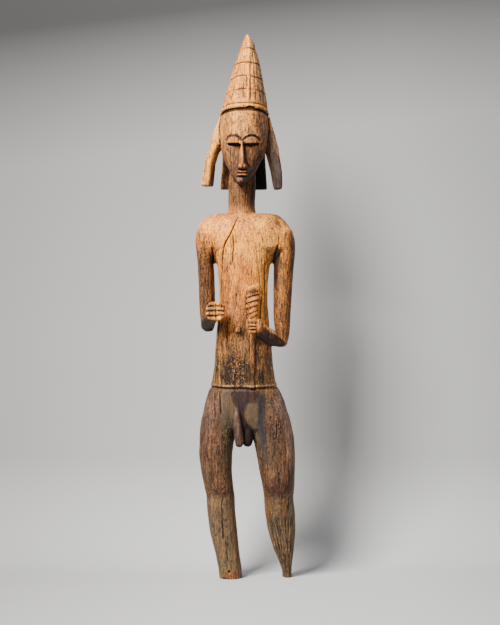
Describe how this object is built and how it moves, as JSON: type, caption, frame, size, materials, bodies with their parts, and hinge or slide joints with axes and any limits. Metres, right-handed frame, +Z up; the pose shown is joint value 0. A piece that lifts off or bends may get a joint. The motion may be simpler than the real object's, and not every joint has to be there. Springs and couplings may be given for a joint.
{
  "type": "carved wooden male figure",
  "caption": "Tall standing male figure carved from one log, with a pointed cap, hanging locks of hair, both fists at the waist and a ringed staff; the feet are lost.",
  "frame": {"origin": "on the floor, under the middle of the figure's bounding box", "axes": "+Z up, along the figure's length; the figure faces -Y, so its own right arm is at -X"},
  "size_m": [0.2026, 0.1402, 1.1],
  "materials": {
    "weathered_hardwood": "weathered and rubbed"
  },
  "bodies": {
    "root": {"male_figure": "weathered_hardwood"}
  },
  "joints": []
}
